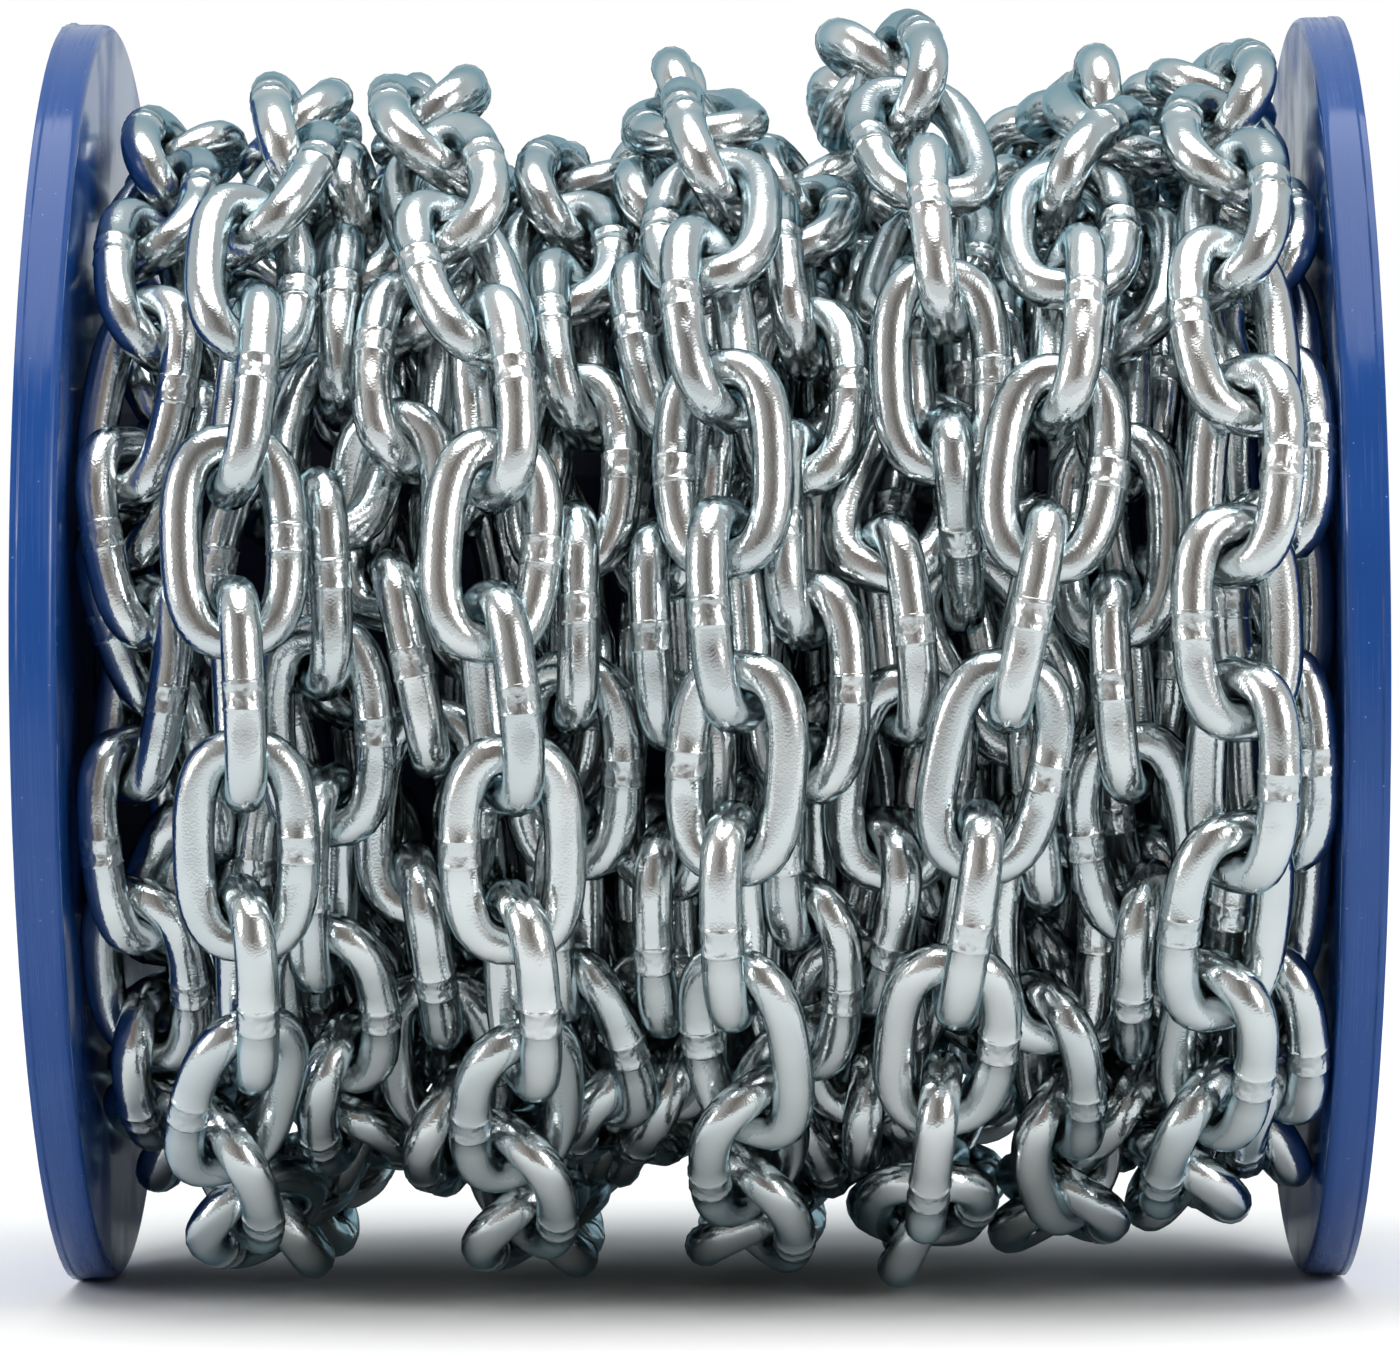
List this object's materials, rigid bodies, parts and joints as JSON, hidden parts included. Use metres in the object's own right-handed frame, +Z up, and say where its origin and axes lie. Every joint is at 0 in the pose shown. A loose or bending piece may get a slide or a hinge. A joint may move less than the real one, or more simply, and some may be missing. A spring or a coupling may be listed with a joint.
{
  "type": "chain reel",
  "caption": "Reel of zinc-plated short-link steel chain, its turns wound loosely over each other between two blue moulded plastic flanges",
  "frame": {"origin": "on the floor under the middle of the reel", "axes": "+Z up, +X along the reel's axis to the right flange, -Y to the front of the reel as pictured"},
  "size_m": [0.19, 0.2184, 0.1896],
  "materials": {
    "zinc_plated_steel": "bright zinc plating on welded steel wire, blue-white, with slight orange peel and small dents",
    "blue_moulded_plastic": "glossy deep blue injection-moulded plastic, scuffed and nicked at the rim",
    "drum_plastic": "plain dark blue moulded plastic, hidden under the chain"
  },
  "bodies": {
    "root": {"flange_left": "blue_moulded_plastic", "flange_right": "blue_moulded_plastic", "drum": "drum_plastic", "chain_core": "zinc_plated_steel", "chain_run_01": "zinc_plated_steel", "chain_run_02": "zinc_plated_steel", "chain_run_03": "zinc_plated_steel", "chain_run_04": "zinc_plated_steel", "chain_run_05": "zinc_plated_steel", "chain_run_06": "zinc_plated_steel", "chain_run_07": "zinc_plated_steel", "chain_run_08": "zinc_plated_steel", "chain_run_09": "zinc_plated_steel", "chain_run_10": "zinc_plated_steel", "chain_run_11": "zinc_plated_steel", "chain_run_12": "zinc_plated_steel", "chain_run_13": "zinc_plated_steel", "chain_run_14": "zinc_plated_steel", "chain_run_15": "zinc_plated_steel", "chain_run_16": "zinc_plated_steel", "chain_run_17": "zinc_plated_steel", "chain_run_18": "zinc_plated_steel", "chain_run_19": "zinc_plated_steel", "chain_run_20": "zinc_plated_steel", "chain_run_21": "zinc_plated_steel", "chain_run_22": "zinc_plated_steel", "chain_run_23": "zinc_plated_steel", "chain_run_24": "zinc_plated_steel", "chain_run_25": "zinc_plated_steel", "chain_run_26": "zinc_plated_steel"}
  },
  "joints": []
}
